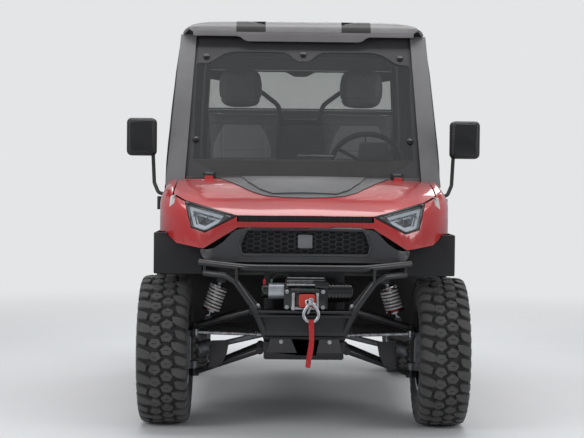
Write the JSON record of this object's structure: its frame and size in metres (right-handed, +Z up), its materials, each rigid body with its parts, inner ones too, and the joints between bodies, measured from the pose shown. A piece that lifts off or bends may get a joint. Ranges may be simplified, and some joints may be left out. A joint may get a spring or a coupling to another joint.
{
  "type": "side-by-side utility vehicle",
  "caption": "Side-by-side utility vehicle with an enclosed two-seat cab, independent suspension, front winch and a tilting cargo bed.",
  "frame": {"origin": "on the ground, under the middle of the vehicle's length and width", "axes": "+Z up, the nose points to -Y, +X is the driver's left"},
  "size_m": [1.724, 3, 1.975],
  "materials": {
    "black_frame": "black powder coat",
    "winch_metal": "grey and black cast housings",
    "hook_steel": "forged, zinc plated",
    "strap_webbing": "woven webbing",
    "red_paint": "gloss moulded in colour",
    "lamp_lens": "clear lens over chrome bowls",
    "grey_cover": "grained grey moulding",
    "black_plastic": "grained black moulding",
    "roof_plastic": "satin dark grey moulding",
    "cab_glass": "clear safety glass",
    "seat_vinyl": "stitched vinyl",
    "shock_metal": "machined",
    "spring_steel": "white powder coat",
    "cast_metal": "bare casting",
    "exhaust_steel": "heat stained",
    "tail_lens": "red lens",
    "grip_rubber": "soft grip",
    "rod_steel": "machined",
    "black_rim": "satin black",
    "tyre_rubber": "moulded rubber"
  },
  "bodies": {
    "chassis": {"frame": "black_frame", "hitch_receiver": "black_frame", "skid_plates": "black_frame", "front_bumper": "black_frame", "winch": "winch_metal", "winch_hook": "hook_steel", "hook_strap": "strap_webbing", "front_fenders": "red_paint", "headlights": "lamp_lens", "bumper_cover": "grey_cover", "grille": "black_plastic", "front_flares": "black_plastic", "cab_tub": "black_plastic", "cowl": "black_plastic", "pillar_covers": "grey_cover", "windshield": "cab_glass", "roof": "roof_plastic", "rear_panel": "roof_plastic", "rear_window": "cab_glass", "roll_cage": "black_frame", "seat_base": "black_plastic", "seat_cushions": "seat_vinyl", "seat_backs": "seat_vinyl", "headrests": "seat_vinyl", "dashboard": "black_plastic", "steering_column": "black_plastic", "mirrors": "black_plastic", "lower_arms": "black_frame", "upper_arms": "black_frame", "shock_absorbers": "shock_metal", "springs": "spring_steel", "rear_uprights": "cast_metal", "final_drives": "cast_metal", "engine": "cast_metal", "exhaust": "exhaust_steel", "rear_flares": "black_plastic"},
    "hood": {"hood": "red_paint"},
    "left_door": {"left_door": "black_plastic", "left_door_glass": "cab_glass"},
    "right_door": {"right_door": "black_plastic", "right_door_glass": "cab_glass"},
    "cargo_bed": {"cargo_bed": "black_plastic", "tail_lamps": "tail_lens"},
    "tailgate": {"tailgate": "black_plastic"},
    "steering_wheel": {"steering_wheel": "grip_rubber"},
    "tie_rods": {"tie_rods": "rod_steel"},
    "left_knuckle": {"left_knuckle": "cast_metal"},
    "right_knuckle": {"right_knuckle": "cast_metal"},
    "front_left_wheel": {"front_left_rim": "black_rim", "front_left_tyre": "tyre_rubber"},
    "front_right_wheel": {"front_right_rim": "black_rim", "front_right_tyre": "tyre_rubber"},
    "rear_left_wheel": {"rear_left_rim": "black_rim", "rear_left_tyre": "tyre_rubber"},
    "rear_right_wheel": {"rear_right_rim": "black_rim", "rear_right_tyre": "tyre_rubber"}
  },
  "joints": [
    {"name": "hood_lift", "type": "hinge", "parent": "chassis", "child": "hood", "pos_m": [0, -0.64, 1.152], "axis": [-1, 0, 0], "range_deg": [0, 60]},
    {"name": "left_door_swing", "type": "hinge", "parent": "chassis", "child": "left_door", "pos_m": [0.706, -0.512, 1], "axis": [0, 0, -1], "range_deg": [0, 65]},
    {"name": "right_door_swing", "type": "hinge", "parent": "chassis", "child": "right_door", "pos_m": [-0.706, -0.512, 1], "axis": [0, 0, 1], "range_deg": [0, 65]},
    {"name": "bed_tilt", "type": "hinge", "parent": "chassis", "child": "cargo_bed", "pos_m": [0, 1.35, 0.77], "axis": [-1, 0, 0], "range_deg": [0, 40]},
    {"name": "tailgate_drop", "type": "hinge", "parent": "cargo_bed", "child": "tailgate", "pos_m": [0, 1.454, 0.808], "axis": [-1, 0, 0], "range_deg": [0, 90]},
    {"name": "left_steer", "type": "hinge", "parent": "chassis", "child": "left_knuckle", "pos_m": [0.505, -0.98, 0.343], "axis": [0, 0, 1], "range_deg": [-30, 30]},
    {"name": "right_steer", "type": "hinge", "parent": "chassis", "child": "right_knuckle", "pos_m": [-0.505, -0.98, 0.343], "axis": [0, 0, 1], "range_deg": [-30, 30]},
    {"name": "steering_turn", "type": "hinge", "parent": "chassis", "child": "steering_wheel", "pos_m": [0.335, -0.13, 1.22], "axis": [0, 0.8192, 0.5736], "range_deg": [-270, 270]},
    {"name": "rack_slide", "type": "slide", "parent": "chassis", "child": "tie_rods", "axis": [1, 0, 0], "range_m": [-0.056, 0.056]},
    {"name": "front_left_spin", "type": "hinge", "parent": "left_knuckle", "child": "front_left_wheel", "pos_m": [0.635, -0.98, 0.343], "axis": [1, 0, 0], "continuous": true},
    {"name": "front_right_spin", "type": "hinge", "parent": "right_knuckle", "child": "front_right_wheel", "pos_m": [-0.635, -0.98, 0.343], "axis": [1, 0, 0], "continuous": true},
    {"name": "rear_left_spin", "type": "hinge", "parent": "chassis", "child": "rear_left_wheel", "pos_m": [0.635, 0.95, 0.343], "axis": [1, 0, 0], "continuous": true},
    {"name": "rear_right_spin", "type": "hinge", "parent": "chassis", "child": "rear_right_wheel", "pos_m": [-0.635, 0.95, 0.343], "axis": [1, 0, 0], "continuous": true}
  ],
  "couplings": [
    {"joint": "right_steer", "follows": "left_steer", "ratio": 1},
    {"joint": "steering_turn", "follows": "left_steer", "ratio": 9},
    {"joint": "rack_slide", "follows": "left_steer", "m_per_rad": 0.105}
  ]
}
